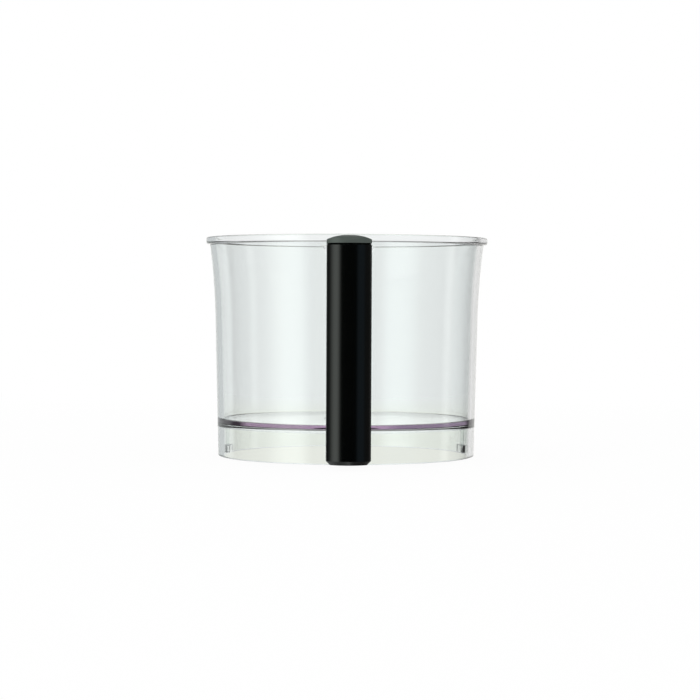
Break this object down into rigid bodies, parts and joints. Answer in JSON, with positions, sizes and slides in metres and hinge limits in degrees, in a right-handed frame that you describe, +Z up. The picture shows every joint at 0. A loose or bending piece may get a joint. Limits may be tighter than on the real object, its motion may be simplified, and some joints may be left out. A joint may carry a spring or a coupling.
{
  "type": "food processor bowl",
  "caption": "Clear round food processor work bowl with a rolled rim, a central drive shaft tube, bayonet lugs and a black D handle holding a sprung interlock rod.",
  "frame": {"origin": "on the bowl's axis, in the plane of the skirt's lower edge, which is what the bayonet seats on", "axes": "+Z up along the bowl's axis; the handle reaches toward -Y, so the picture looks along +Y; +X to the right of the handle as seen from the front"},
  "size_m": [0.1962, 0.2361, 0.1514],
  "materials": {
    "clear_polycarbonate": "clear moulded polycarbonate, polished, very slightly green",
    "black_handle": "satin black moulded plastic",
    "grey_cap": "satin charcoal grey moulded plastic",
    "white_acetal": "natural white acetal",
    "steel": "stainless steel"
  },
  "bodies": {
    "bowl_and_handle": {"bowl": "clear_polycarbonate", "handle_front_shell": "black_handle", "handle_back_shell": "black_handle", "handle_top_cap": "grey_cap", "upper_bracket_screw": "steel", "lower_bracket_screw": "steel", "grip_screw_upper": "steel", "grip_screw_lower": "steel", "rod_return_spring": "steel"},
    "push_rod": {"interlock_push_rod": "white_acetal"}
  },
  "joints": [
    {"name": "rod_push", "type": "slide", "parent": "bowl_and_handle", "child": "push_rod", "axis": [0, 0, -1], "range_m": [0, 0.005], "stiffness_N_per_m": 250, "springref_m": -0.005, "deforming": ["rod_return_spring"]}
  ]
}
